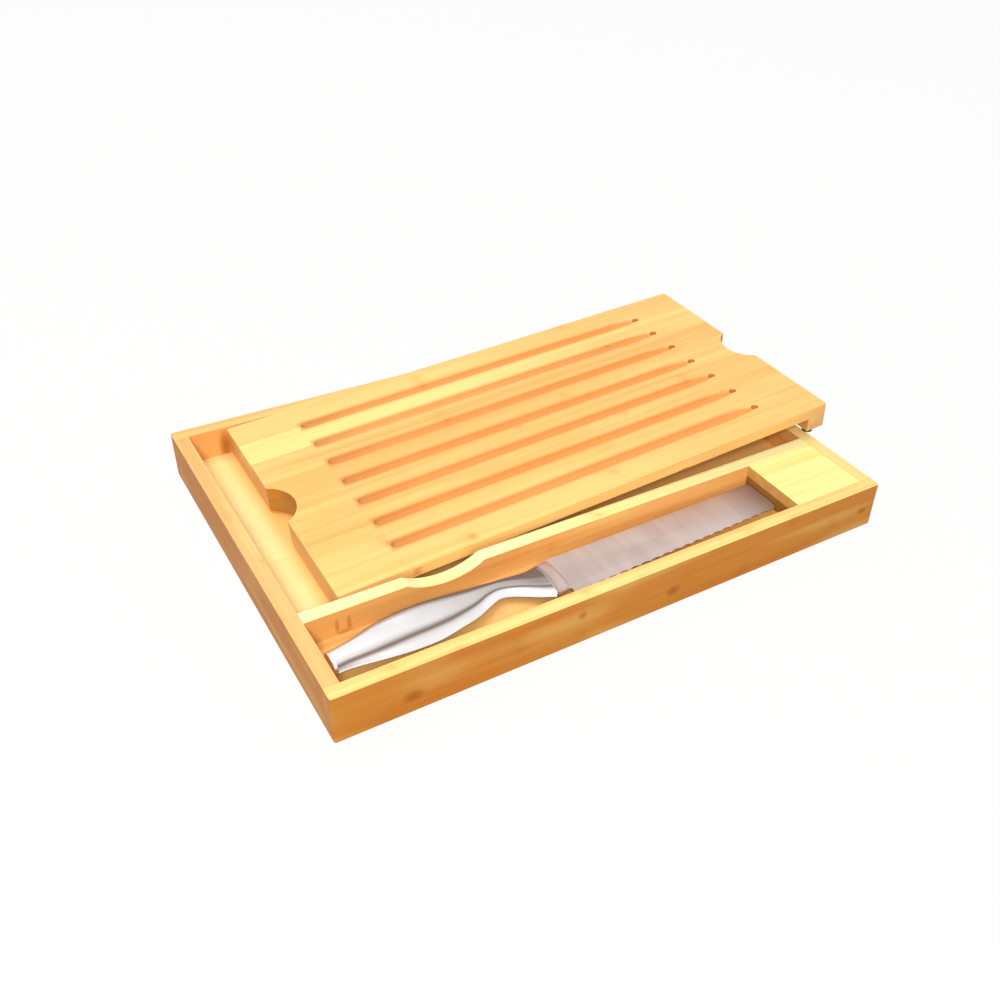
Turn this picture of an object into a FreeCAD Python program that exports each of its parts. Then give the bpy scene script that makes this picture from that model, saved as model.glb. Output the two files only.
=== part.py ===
"""Bread board set: a shallow crumb tray, a grooved slicing board with battens, and a bread knife.

Frame: millimetres, +X along the tray's length, +Y to the back, +Z up. The origin is on the table,
under the middle of the front rail's underside.
"""
import FreeCAD, Part
import math
import os

# ---------------------------------------------------------------- tray
TRAY_LENGTH = 420.0
TRAY_WIDTH = 300.0
TRAY_HEIGHT = 35.0
RAIL_THICKNESS = 10.0
CORNER_RADIUS = 1.5
FLOOR_RECESS = 6.0
FLOOR_THICKNESS = 6.0
FLOOR_GROOVE_DEPTH = 5.0
PANEL_PLAY = 0.2
KNIFE_BAY_WIDTH = 54.0
KNIFE_BAY_FLOOR_THICKNESS = 4.5
DIVIDER_THICKNESS = 10.0
END_BLOCK_LENGTH = 59.5
DIVIDER_NOTCH_CENTRE = 94.0
DIVIDER_NOTCH_WIDTH = 54.0
DIVIDER_NOTCH_DEPTH = 7.5

# ---------------------------------------------------------------- dowels
DOWEL_DIAMETER = 5.0
DOWEL_GLUE_GAP = 0.1
DOWEL_END_GAP = 0.5
DOWEL_IN_RAIL = 6.0
DOWEL_IN_END_GRAIN = 16.0
DOWEL_BELOW_RIM = 6.0
DOWEL_ABOVE_FLOOR = 5.0
BLOCK_DOWEL_FROM_FRONT = 20.0
BLOCK_DOWEL_SPACING = 20.0
PEG_DIAMETER = 4.0
PEG_IN_STAVE = 4.5
PEG_IN_BATTEN = 8.0

# ---------------------------------------------------------------- slicing board
STAVE_COUNT = 8
PLATE_THICKNESS = 8.5
BATTEN_WIDTH = 17.0
BATTEN_HEIGHT = 11.0
BOARD_END_PLAY = 2.0
BOARD_SIDE_PLAY = 4.5
GROOVE_CUTTER_RADIUS = 4.3
GROOVE_DEPTH = 3.4
GROOVE_START = 47.5
GROOVE_RUN_OUT = 30.0
GROOVE_END_DEPTH = 0.6
DRAIN_HOLE_DIAMETER = 5.4
DRAIN_HOLE_FROM_END = 49.3
FINGER_NOTCH_RADIUS = 24.0
FINGER_NOTCH_DEPTH = 12.5
BOARD_CORNER_RADIUS = 1.5
FOOT_DIAMETER = 8.0
FOOT_HEIGHT = 2.2
FOOT_INSET = 0.5
# Where the board lies: its left feet on the tray's floor, its right feet on the right rim.
BOARD_LEFT_GAP = 28.0
BOARD_FRONT_GAP = 3.6
BOARD_YAW_DEG = -0.25

# ---------------------------------------------------------------- knife
KNIFE_END_PLAY = 4.4
KNIFE_BUTT_GAP = 3.6
KNIFE_SPINE_GAP = 3.6
KNIFE_YAW_DEG = 1.5
BLADE_THICKNESS = 1.6
BLADE_WIDTH = 31.5
# The edge runs this much lower at the heel than at the tip.
BLADE_HEEL_DROP = 4.5
BLADE_HEEL_RADIUS = 1.0
BLADE_TIP_RADIUS = 4.0
BLADE_SPINE_TIP_RADIUS = 2.0
BEVEL_WIDTH = 7.0
EDGE_THICKNESS = 0.5
SCALLOP_PITCH = 9.0
SCALLOP_DEPTH = 1.1
SCALLOP_START = 12.0
TANG_WIDTH = 16.0
TANG_LENGTH = 18.0
BOLSTER_LENGTH = 12.0
BOLSTER_NECK_LENGTH = 1.5
BOLSTER_NECK_INSET = 0.8
BOLSTER_RIM = 0.6
BOLSTER_SHOULDER_LENGTH = 2.5
BOLSTER_SHOULDER_HALF_THICKNESS = 4.4
BOLSTER_FRONT_HALF_THICKNESS = 2.0
SHELL_WALL = 1.4
CAP_LENGTH = 2.0
CAP_SPIGOT_LENGTH = 4.0
CAP_SPIGOT_GAP = 0.1
HANDLE_LENGTH = 146.5
HANDLE_END_OFFSET = -1.9
HANDLE_END_HALF_WIDTH = 14.8
HANDLE_END_HALF_THICKNESS = 5.8
# Cross-sections of the hollow handle, butt to bolster: share of the handle's length, offset of the
# section's centre towards the spine, half width and half thickness.
HANDLE_SECTIONS = (
    (0.0, -0.8, 8.2, 5.5),
    (0.068, 0.0, 8.8, 6.3),
    (0.136, 0.6, 10.6, 6.9),
    (0.232, 1.6, 13.9, 7.4),
    (0.341, 2.0, 16.2, 7.5),
    (0.45, 2.3, 16.5, 7.5),
    (0.546, 3.1, 14.6, 7.2),
    (0.656, 4.1, 11.7, 6.7),
    (0.731, 5.9, 8.6, 6.1),
    (0.785, 6.5, 6.5, 5.7),
    (0.84, 5.3, 7.4, 5.5),
    (0.908, 1.6, 10.3, 5.6),
    (0.954, -0.6, 12.4, 5.6),
    (1.0, HANDLE_END_OFFSET, HANDLE_END_HALF_WIDTH, HANDLE_END_HALF_THICKNESS),
)

# ---------------------------------------------------------------- clearances
# Loose pieces lie this far from what carries them.
REST_GAP = 0.3
# Two places closer than this are the same place.
SAME_PLACE = 0.01

# ---------------------------------------------------------------- worked-out sizes
LEFT = -TRAY_LENGTH / 2
RIGHT = TRAY_LENGTH / 2
FRONT = -RAIL_THICKNESS / 2
BACK = FRONT + TRAY_WIDTH
INNER_LEFT = LEFT + RAIL_THICKNESS
INNER_RIGHT = RIGHT - RAIL_THICKNESS
INNER_FRONT = FRONT + RAIL_THICKNESS
INNER_BACK = BACK - RAIL_THICKNESS
INNER_LENGTH = INNER_RIGHT - INNER_LEFT
FLOOR_TOP = FLOOR_RECESS + FLOOR_THICKNESS
KNIFE_BAY_FLOOR_TOP = FLOOR_TOP + KNIFE_BAY_FLOOR_THICKNESS
DIVIDER_FRONT = INNER_FRONT + KNIFE_BAY_WIDTH
DIVIDER_BACK = DIVIDER_FRONT + DIVIDER_THICKNESS
BLOCK_LEFT = INNER_RIGHT - END_BLOCK_LENGTH
WALL_ABOVE_FLOOR = TRAY_HEIGHT - FLOOR_TOP
DOWEL_HEIGHTS = (FLOOR_TOP + DOWEL_ABOVE_FLOOR, TRAY_HEIGHT - DOWEL_BELOW_RIM)

BOARD_LENGTH = INNER_LENGTH - BOARD_END_PLAY
BOARD_WIDTH = INNER_BACK - DIVIDER_BACK - BOARD_SIDE_PLAY
BOARD_HEIGHT = BATTEN_HEIGHT + PLATE_THICKNESS
STAVE_WIDTH = BOARD_WIDTH / STAVE_COUNT
# The board stands on the left feet's outer side and the right feet's inner side.
LEFT_CONTACT = BATTEN_WIDTH - FOOT_INSET - FOOT_DIAMETER
RIGHT_CONTACT = BOARD_LENGTH - BATTEN_WIDTH + FOOT_INSET
BOARD_TILT = math.asin(WALL_ABOVE_FLOOR / (RIGHT_CONTACT - LEFT_CONTACT))
NOTCH_CENTRE_OUTSIDE = FINGER_NOTCH_RADIUS - FINGER_NOTCH_DEPTH

KNIFE_LENGTH = BLOCK_LEFT - INNER_LEFT - KNIFE_END_PLAY
BLADE_START = HANDLE_LENGTH + BOLSTER_LENGTH
# Lying on its side, the knife touches the bay's floor with the bolster's rim and the handle's belly.
RIM_PLACE = HANDLE_LENGTH + BOLSTER_NECK_LENGTH
RIM_HALF_THICKNESS = HANDLE_END_HALF_THICKNESS + BOLSTER_RIM
KNIFE_SLOPE = max(math.atan((thick - RIM_HALF_THICKNESS) / (RIM_PLACE - share * HANDLE_LENGTH))
                  for share, _, _, thick in HANDLE_SECTIONS)

X_AXIS = FreeCAD.Vector(1, 0, 0)
Y_AXIS = FreeCAD.Vector(0, 1, 0)
Z_AXIS = FreeCAD.Vector(0, 0, 1)
ORIGIN = FreeCAD.Vector(0, 0, 0)


# ---------------------------------------------------------------- helpers
def point(x, y, z):
    return FreeCAD.Vector(x, y, z)


def block(x_from, x_to, y_from, y_to, z_from, z_to):
    """A box between two corners."""
    return Part.makeBox(x_to - x_from, y_to - y_from, z_to - z_from, point(x_from, y_from, z_from))


def rod(start, axis, length, diameter):
    """A round bar from a point along an axis."""
    return Part.makeCylinder(diameter / 2, length, start, axis)


def upright_edges(shape, places):
    """The edges that stand along Z at the given x, y places."""
    found = []
    for edge in shape.Edges:
        ends = [vertex.Point for vertex in edge.Vertexes]
        if len(ends) != 2 or math.hypot(ends[0].x - ends[1].x, ends[0].y - ends[1].y) > SAME_PLACE:
            continue
        if any(math.hypot(ends[0].x - x, ends[0].y - y) < SAME_PLACE for x, y in places):
            found.append(edge)
    return found


def save(name, solids, placement=None):
    """Write one sub-part as parts/NAME.step."""
    shape = solids[0] if len(solids) == 1 else Part.Compound(solids)
    if placement is not None:
        shape = shape.copy()
        shape.Placement = placement.multiply(shape.Placement)
    shape.exportStep(os.path.join("parts", name + ".step"))


# ---------------------------------------------------------------- dowel places
def corner_dowel_axes():
    """Start point and direction of each corner dowel, from the joint into the side rail."""
    axes = []
    for x in (LEFT + RAIL_THICKNESS / 2, RIGHT - RAIL_THICKNESS / 2):
        for z in DOWEL_HEIGHTS:
            axes.append((point(x, INNER_FRONT, z), Y_AXIS))
            axes.append((point(x, INNER_BACK, z), -Y_AXIS))
    return axes


def divider_dowel_axes():
    """Start point and direction of each divider dowel, from the side rail into the divider."""
    y = (DIVIDER_FRONT + DIVIDER_BACK) / 2
    axes = []
    for z in DOWEL_HEIGHTS:
        axes.append((point(INNER_LEFT, y, z), X_AXIS))
        axes.append((point(INNER_RIGHT, y, z), -X_AXIS))
    return axes


def block_dowel_axes():
    """Start point and direction of each end block dowel, from the right rail into the block."""
    first = INNER_FRONT + BLOCK_DOWEL_FROM_FRONT
    z = (FLOOR_TOP + TRAY_HEIGHT) / 2
    return [(point(INNER_RIGHT, y, z), -X_AXIS) for y in (first, first + BLOCK_DOWEL_SPACING)]


def dowels(axes):
    """The dowels themselves, one through each joint face."""
    length = DOWEL_IN_RAIL + DOWEL_IN_END_GRAIN
    return [rod(start - direction * DOWEL_IN_RAIL, direction, length, DOWEL_DIAMETER)
            for start, direction in axes]


def dowel_holes(axes):
    """What the drill takes out for each dowel, a little wider and deeper than the dowel."""
    length = DOWEL_IN_RAIL + DOWEL_IN_END_GRAIN + 2 * DOWEL_END_GAP
    back_off = DOWEL_IN_RAIL + DOWEL_END_GAP
    return [rod(start - direction * back_off, direction, length, DOWEL_DIAMETER + 2 * DOWEL_GLUE_GAP)
            for start, direction in axes]


ALL_DOWEL_HOLES = dowel_holes(corner_dowel_axes() + divider_dowel_axes() + block_dowel_axes())


# ---------------------------------------------------------------- tray pieces
def floor_groove():
    """The groove that runs round the inside of the four rails and holds the floor."""
    inset = RAIL_THICKNESS - FLOOR_GROOVE_DEPTH
    return block(LEFT + inset, RIGHT - inset, FRONT + inset, BACK - inset, FLOOR_RECESS, FLOOR_TOP)


def long_rail(y_from, y_to, outer_y):
    """Front or rear rail, over the tray's full length, with rounded outer corners."""
    rail = block(LEFT, RIGHT, y_from, y_to, 0, TRAY_HEIGHT)
    corners = upright_edges(rail, ((LEFT, outer_y), (RIGHT, outer_y)))
    rail = rail.makeFillet(min(CORNER_RADIUS, RAIL_THICKNESS / 2), corners)
    return rail.cut([floor_groove()] + ALL_DOWEL_HOLES)


def side_rail(x_from, x_to):
    """Left or right rail, between the long rails."""
    rail = block(x_from, x_to, INNER_FRONT, INNER_BACK, 0, TRAY_HEIGHT)
    return rail.cut([floor_groove()] + ALL_DOWEL_HOLES)


def tray_floor():
    """The floor panel, its edges in the rails' groove."""
    inset = RAIL_THICKNESS - FLOOR_GROOVE_DEPTH + PANEL_PLAY
    return block(LEFT + inset, RIGHT - inset, FRONT + inset, BACK - inset, FLOOR_RECESS, FLOOR_TOP)


def knife_bay_floor():
    """The raised strip that the knife lies on, between the rails, the divider and the end block."""
    return block(INNER_LEFT + PANEL_PLAY, BLOCK_LEFT - PANEL_PLAY, INNER_FRONT + PANEL_PLAY,
                 DIVIDER_FRONT - PANEL_PLAY, FLOOR_TOP, KNIFE_BAY_FLOOR_TOP)


def divider():
    """The rail between the two bays, with a shallow finger notch in its top."""
    bar = block(INNER_LEFT, INNER_RIGHT, DIVIDER_FRONT, DIVIDER_BACK, FLOOR_TOP, TRAY_HEIGHT)
    half = DIVIDER_NOTCH_WIDTH / 2
    radius = (half ** 2 + DIVIDER_NOTCH_DEPTH ** 2) / (2 * DIVIDER_NOTCH_DEPTH)
    centre_z = TRAY_HEIGHT - DIVIDER_NOTCH_DEPTH + radius
    start = point(INNER_LEFT + DIVIDER_NOTCH_CENTRE, DIVIDER_FRONT, centre_z)
    notch = rod(start, Y_AXIS, DIVIDER_THICKNESS, 2 * radius)
    return bar.cut([notch] + ALL_DOWEL_HOLES)


def end_block():
    """The wide block that closes the right end of the knife bay."""
    solid = block(BLOCK_LEFT, INNER_RIGHT, INNER_FRONT, DIVIDER_FRONT, FLOOR_TOP, TRAY_HEIGHT)
    return solid.cut(ALL_DOWEL_HOLES)


# ---------------------------------------------------------------- board pieces
# The board is drawn flat: x from its left end, y from its front edge, z from the battens' feet.
def groove_cutter(y):
    """The path of a round-nosed cutter: a rounded start, a straight run and a rise to the hole."""
    radius = GROOVE_CUTTER_RADIUS
    axis_z = BOARD_HEIGHT - GROOVE_DEPTH + radius
    start = GROOVE_START + radius
    hole = BOARD_LENGTH - DRAIN_HOLE_FROM_END
    bend = hole - GROOVE_RUN_OUT
    rise = GROOVE_DEPTH - GROOVE_END_DEPTH
    bend_radius = (GROOVE_RUN_OUT ** 2 + rise ** 2) / (2 * rise)
    bend_angle = math.degrees(math.asin(GROOVE_RUN_OUT / bend_radius))
    middle = point(start, y, axis_z)
    end = point(bend, y, axis_z)
    up = Z_AXIS * radius
    slant = math.sqrt(0.5)
    nose = Part.Arc(middle - X_AXIS * radius, middle + (Z_AXIS - X_AXIS) * (radius * slant), middle + up)
    outline = Part.Wire([
        nose.toShape(),
        Part.makeLine(middle + up, end + up),
        Part.makeLine(end + up, end),
        Part.makeLine(end, middle - X_AXIS * radius)])
    straight = Part.Face(outline).revolve(middle, X_AXIS, 360)
    circle = Part.Face(Part.Wire(Part.makeCircle(radius, end, X_AXIS)))
    rising = circle.revolve(end + Z_AXIS * bend_radius, -Y_AXIS, bend_angle)
    return straight.fuse(rising)


def drain_hole(y):
    """The hole at the end of a groove, through the plate."""
    start = point(BOARD_LENGTH - DRAIN_HOLE_FROM_END, y, BATTEN_HEIGHT)
    return rod(start, Z_AXIS, PLATE_THICKNESS, DRAIN_HOLE_DIAMETER)


def finger_notches():
    """The round notches in the middle of both short ends, through plate and batten."""
    left_axis = point(-NOTCH_CENTRE_OUTSIDE, BOARD_WIDTH / 2, 0)
    right_axis = point(BOARD_LENGTH + NOTCH_CENTRE_OUTSIDE, BOARD_WIDTH / 2, 0)
    left = rod(left_axis, Z_AXIS, BOARD_HEIGHT, 2 * FINGER_NOTCH_RADIUS)
    # Half a turn puts the cylinder's own seam line outside the board.
    left.rotate(left_axis, Z_AXIS, 180)
    return [left, rod(right_axis, Z_AXIS, BOARD_HEIGHT, 2 * FINGER_NOTCH_RADIUS)]


def batten_starts():
    return (0.0, BOARD_LENGTH - BATTEN_WIDTH)


def peg_places():
    """Middle of each peg between a batten and a stave, where the finger notches leave room."""
    reach = FINGER_NOTCH_RADIUS + PEG_DIAMETER
    places = []
    for start in batten_starts():
        x = start + BATTEN_WIDTH / 2
        for number in range(STAVE_COUNT):
            y = (number + 0.5) * STAVE_WIDTH
            if abs(y - BOARD_WIDTH / 2) > reach:
                places.append((x, y))
    return places


def pegs(extra_radius, extra_length):
    """The pegs, or with an allowance the holes that they stand in."""
    length = PEG_IN_BATTEN + PEG_IN_STAVE + 2 * extra_length
    z = BATTEN_HEIGHT - PEG_IN_BATTEN - extra_length
    return [rod(point(x, y, z), Z_AXIS, length, PEG_DIAMETER + 2 * extra_radius) for x, y in peg_places()]


PEG_HOLES = pegs(DOWEL_GLUE_GAP, DOWEL_END_GAP)


def rounded_at_corners(shape):
    """Round the upright edges that lie at the board's four corners."""
    corners = [(x, y) for x in (0, BOARD_LENGTH) for y in (0, BOARD_WIDTH)]
    edges = upright_edges(shape, corners)
    return shape.makeFillet(BOARD_CORNER_RADIUS, edges) if edges else shape


def stave(number):
    """One strip of the plate; half a groove runs along each side that has a neighbour."""
    y_from = number * STAVE_WIDTH
    y_to = y_from + STAVE_WIDTH
    strip = block(0, BOARD_LENGTH, y_from, y_to, BATTEN_HEIGHT, BOARD_HEIGHT)
    strip = rounded_at_corners(strip)
    cuts = finger_notches() + PEG_HOLES
    for glue_line in (number, number + 1):
        if 0 < glue_line < STAVE_COUNT:
            cuts.append(groove_cutter(glue_line * STAVE_WIDTH))
            cuts.append(drain_hole(glue_line * STAVE_WIDTH))
    return strip.cut(cuts)


def batten(x_from):
    """A cross bar under one end of the plate."""
    bar = block(x_from, x_from + BATTEN_WIDTH, 0, BOARD_WIDTH, 0, BATTEN_HEIGHT)
    return rounded_at_corners(bar).cut(finger_notches() + PEG_HOLES)


def feet():
    """Four rubber feet by name, one under each end of both battens, close to the batten's inner side."""
    from_side = FOOT_INSET + FOOT_DIAMETER / 2
    lengthwise = (("left", BATTEN_WIDTH - from_side), ("right", BOARD_LENGTH - BATTEN_WIDTH + from_side))
    crosswise = (("front", from_side), ("back", BOARD_WIDTH - from_side))
    return {"%s_%s_foot" % (end, side): rod(point(x, y, -FOOT_HEIGHT), Z_AXIS, FOOT_HEIGHT, FOOT_DIAMETER)
            for end, x in lengthwise for side, y in crosswise}


def board_placement():
    """Left feet down on the floor, right feet up on the right rim."""
    tilt = FreeCAD.Rotation(Y_AXIS, -math.degrees(BOARD_TILT))
    yaw = FreeCAD.Rotation(Z_AXIS, BOARD_YAW_DEG)
    below_corner = FOOT_HEIGHT * math.cos(BOARD_TILT) - LEFT_CONTACT * math.sin(BOARD_TILT)
    z = FLOOR_TOP + REST_GAP + below_corner
    return FreeCAD.Placement(point(INNER_LEFT + BOARD_LEFT_GAP, DIVIDER_BACK + BOARD_FRONT_GAP, z),
                             yaw.multiply(tilt))


# ---------------------------------------------------------------- knife pieces
# The knife is drawn lying flat: x from the butt to the tip, y towards the spine, z up from its middle.
def section_wire(along, offset, width, thick, inset, half):
    """An ellipse across the handle, or its upper half closed along the parting plane."""
    centre = point(along, offset, 0)
    ellipse = Part.Ellipse(centre + Y_AXIS * (width - inset), centre + Z_AXIS * (thick - inset), centre)
    if not half:
        return Part.Wire(ellipse.toShape())
    arc = Part.Arc(ellipse, 0, math.pi).toShape()
    ends = [vertex.Point for vertex in arc.Vertexes]
    return Part.Wire([arc, Part.makeLine(ends[1], ends[0])])


def handle_body(inset, half):
    """The handle's outer shape, or drawn in by the inset its hollow."""
    wires = [section_wire(share * HANDLE_LENGTH, offset, width, thick, inset, half)
             for share, offset, width, thick in HANDLE_SECTIONS]
    return Part.makeLoft(wires, True, False)


def slab(x_from, x_to):
    """A slice of space across the handle."""
    reach = KNIFE_BAY_WIDTH
    return block(x_from, x_to, -reach, reach, -reach, reach)


def tang():
    """The flat tongue of the blade that runs through the bolster into the handle."""
    half = TANG_WIDTH / 2
    thick = BLADE_THICKNESS / 2
    return block(BLADE_START - TANG_LENGTH, BLADE_START, -half, half, -thick, thick)


def handle_upper_shell():
    shell = handle_body(0, True).cut(handle_body(SHELL_WALL, True))
    return shell.common(slab(CAP_LENGTH, HANDLE_LENGTH))


def handle_lower_shell():
    return handle_upper_shell().mirror(ORIGIN, Z_AXIS)


def handle_end_cap():
    """Closes the butt, with a spigot inside the shells."""
    cap = handle_body(0, False).common(slab(0, CAP_LENGTH))
    inside = handle_body(SHELL_WALL + CAP_SPIGOT_GAP, False)
    spigot = inside.common(slab(CAP_LENGTH, CAP_LENGTH + CAP_SPIGOT_LENGTH))
    return cap.fuse(spigot)


def bolster():
    """The collar in front of the handle: a narrow neck, a rim, and a shoulder that drops to the blade."""
    neck = [section_wire(along, HANDLE_END_OFFSET, HANDLE_END_HALF_WIDTH, HANDLE_END_HALF_THICKNESS,
                         BOLSTER_NECK_INSET, False) for along in (HANDLE_LENGTH, RIM_PLACE)]
    shoulder_place = BLADE_START - BOLSTER_SHOULDER_LENGTH
    front_half_width = BLADE_WIDTH / 2
    rim = section_wire(RIM_PLACE, HANDLE_END_OFFSET, HANDLE_END_HALF_WIDTH + BOLSTER_RIM, RIM_HALF_THICKNESS,
                       0, False)
    shoulder = section_wire(shoulder_place, 0.0, front_half_width, BOLSTER_SHOULDER_HALF_THICKNESS, 0, False)
    front = section_wire(BLADE_START, 0.0, front_half_width, BOLSTER_FRONT_HALF_THICKNESS, 0, False)
    collar = Part.makeLoft([rim, shoulder, front], True, True)
    return Part.makeLoft(neck, True, True).fuse(collar).cut(tang())


def along_edge(shape):
    """Turns what is made for an edge along X to the blade's edge, about the edge's end at the tip."""
    slant = math.degrees(math.atan2(BLADE_HEEL_DROP, KNIFE_LENGTH - BLADE_START))
    return shape.rotate(point(KNIFE_LENGTH, -BLADE_WIDTH / 2, 0), Z_AXIS, slant)


def blade():
    """A flat blade with its tang, a bevelled and scalloped edge and a rounded tip."""
    edge_y = -BLADE_WIDTH / 2
    spine_y = BLADE_WIDTH / 2
    heel_y = edge_y - BLADE_HEEL_DROP
    thick = BLADE_THICKNESS / 2
    corners = ((BLADE_START, heel_y), (KNIFE_LENGTH, edge_y), (KNIFE_LENGTH, spine_y), (BLADE_START, spine_y))
    outline = Part.makePolygon([point(x, y, -thick) for x, y in corners + corners[:1]])
    plate = Part.Face(outline).extrude(Z_AXIS * BLADE_THICKNESS)
    plate = plate.makeFillet(BLADE_HEEL_RADIUS, upright_edges(plate, ((BLADE_START, heel_y),)))
    plate = plate.makeFillet(BLADE_TIP_RADIUS, upright_edges(plate, ((KNIFE_LENGTH, edge_y),)))
    plate = plate.makeFillet(BLADE_SPINE_TIP_RADIUS, upright_edges(plate, ((KNIFE_LENGTH, spine_y),)))
    bevel_start = BLADE_START - BEVEL_WIDTH
    bevel_profile = Part.makePolygon([
        point(bevel_start, edge_y + BEVEL_WIDTH, thick),
        point(bevel_start, edge_y, -thick + EDGE_THICKNESS),
        point(bevel_start, edge_y, thick),
        point(bevel_start, edge_y + BEVEL_WIDTH, thick)])
    bevel = Part.Face(bevel_profile).extrude(X_AXIS * (KNIFE_LENGTH + BEVEL_WIDTH - bevel_start))
    cutter_radius = ((SCALLOP_PITCH / 2) ** 2 + SCALLOP_DEPTH ** 2) / (2 * SCALLOP_DEPTH)
    cuts = [along_edge(bevel)]
    place = BLADE_START + SCALLOP_START
    while place + SCALLOP_PITCH / 2 < KNIFE_LENGTH - BLADE_TIP_RADIUS:
        centre = point(place, edge_y + SCALLOP_DEPTH - cutter_radius, -thick)
        cuts.append(along_edge(rod(centre, Z_AXIS, BLADE_THICKNESS, 2 * cutter_radius)))
        place += SCALLOP_PITCH
    return plate.cut(cuts).fuse(tang()).removeSplitter()


def knife_placement():
    """On its side: the handle's belly and the bolster lie on the knife bay's floor, the blade stays clear."""
    slope = FreeCAD.Rotation(Y_AXIS, math.degrees(KNIFE_SLOPE))
    yaw = FreeCAD.Rotation(Z_AXIS, KNIFE_YAW_DEG)
    turn = yaw.multiply(slope)
    spine_tip = turn.multVec(point(KNIFE_LENGTH, BLADE_WIDTH / 2, 0))
    y = DIVIDER_FRONT - KNIFE_SPINE_GAP - spine_tip.y
    above_floor = RIM_PLACE * math.sin(KNIFE_SLOPE) + RIM_HALF_THICKNESS * math.cos(KNIFE_SLOPE)
    z = KNIFE_BAY_FLOOR_TOP + REST_GAP + above_floor
    return FreeCAD.Placement(point(INNER_LEFT + KNIFE_BUTT_GAP, y, z), turn)


# ---------------------------------------------------------------- write the sub-parts
def main():
    os.makedirs("parts", exist_ok=True)
    save("front_rail", [long_rail(FRONT, INNER_FRONT, FRONT)])
    save("rear_rail", [long_rail(INNER_BACK, BACK, BACK)])
    save("left_rail", [side_rail(LEFT, INNER_LEFT)])
    save("right_rail", [side_rail(INNER_RIGHT, RIGHT)])
    save("tray_floor", [tray_floor()])
    save("knife_bay_floor", [knife_bay_floor()])
    save("divider", [divider()])
    save("end_block", [end_block()])
    save("corner_dowels", dowels(corner_dowel_axes()))
    save("divider_dowels", dowels(divider_dowel_axes()))
    save("block_dowels", dowels(block_dowel_axes()))

    on_rim = board_placement()
    for number in range(STAVE_COUNT):
        save("board_stave_%d" % (number + 1), [stave(number)], on_rim)
    for name, start in zip(("left_batten", "right_batten"), batten_starts()):
        save(name, [batten(start)], on_rim)
    save("batten_pegs", pegs(0, 0), on_rim)
    for name, foot in feet().items():
        save(name, [foot], on_rim)

    in_bay = knife_placement()
    save("knife_blade", [blade()], in_bay)
    save("knife_bolster", [bolster()], in_bay)
    save("handle_upper_shell", [handle_upper_shell()], in_bay)
    save("handle_lower_shell", [handle_lower_shell()], in_bay)
    save("handle_end_cap", [handle_end_cap()], in_bay)


main()
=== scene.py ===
"""Looks of the bread board set: varnished bamboo, brushed and polished steel, and a plain studio; some shade,
shadow, highlights and reflections are painted into the colours.
"""
import math
from typing import NamedTuple

import bmesh
import bpy
from mathutils import Euler, Matrix, Quaternion, Vector


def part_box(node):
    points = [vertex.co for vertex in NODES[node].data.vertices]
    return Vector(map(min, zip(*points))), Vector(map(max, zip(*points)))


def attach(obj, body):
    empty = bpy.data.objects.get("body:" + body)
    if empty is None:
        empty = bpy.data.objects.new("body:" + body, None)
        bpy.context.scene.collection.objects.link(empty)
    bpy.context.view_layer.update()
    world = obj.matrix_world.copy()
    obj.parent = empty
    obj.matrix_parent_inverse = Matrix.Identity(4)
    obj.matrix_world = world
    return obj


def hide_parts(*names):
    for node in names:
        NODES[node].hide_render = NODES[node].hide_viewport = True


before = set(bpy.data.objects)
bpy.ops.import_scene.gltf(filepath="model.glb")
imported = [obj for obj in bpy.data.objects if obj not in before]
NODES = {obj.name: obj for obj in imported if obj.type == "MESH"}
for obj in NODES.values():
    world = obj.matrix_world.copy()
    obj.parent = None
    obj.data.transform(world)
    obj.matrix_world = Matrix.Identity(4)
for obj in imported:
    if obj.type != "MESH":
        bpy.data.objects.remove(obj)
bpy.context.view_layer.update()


class Strips(NamedTuple):
    """How a piece's strips lie: their axes, their width, the gap between the cane's nodes, and a seed."""
    grain: str
    across: str
    width: float
    node_gap: float
    seed: int


class Grain(NamedTuple):
    """A noise in a material: its waves per metre along each axis, and how it shows.

    It begins to show at one value of the noise, starts, and shows with its whole strength at another, full.
    """
    waves: tuple
    detail: float
    roughness: float = 0.5
    starts: float = 0.0
    full: float = 1.0
    strength: float = 1.0
    tint: tuple = (1.0, 1.0, 1.0)


# ---------------------------------------------------------------- camera: metres, degrees, millimetres
CAMERA_PLACE = (-0.3332, -0.4039, 0.4765)
CAMERA_AZIMUTH = 34.90
CAMERA_DOWN = 36.45
CAMERA_ROLL = 3.74
SENSOR_WIDTH = 36.0
FOCAL_LENGTH = 38.59
# The optical axis meets the image right of its middle.
SHIFT_X = -0.0774
SHIFT_Y = -0.0023
CLIP_NEAR = 0.01
CLIP_FAR = 50

# ---------------------------------------------------------------- studio: metres, watts, linear colours
LAMPS_AIM = (0, 0.14, 0.02)
# Each lamp's place, the width of its disc, its power and its colour.
LAMPS = {
    "key": ((-0.55, 0.70, 1.9), 1.1, 15.1, (1.0, 0.97, 0.92)),
    "front": ((-0.80, -1.28, 1.40), 0.55, 28.5, (1.0, 0.97, 0.93)),
}
FILL = (1.0, 0.98, 0.95)
FILL_STRENGTH = 0.50
GROUND_REACH = 6.0
GROUND_GREY = (0.45, 0.45, 0.45)
# To the camera the ground is mostly this white glow, and the rest of it takes the shadow.
GROUND_GLOW = 1.05
GROUND_SHOWN = 0.90

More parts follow.
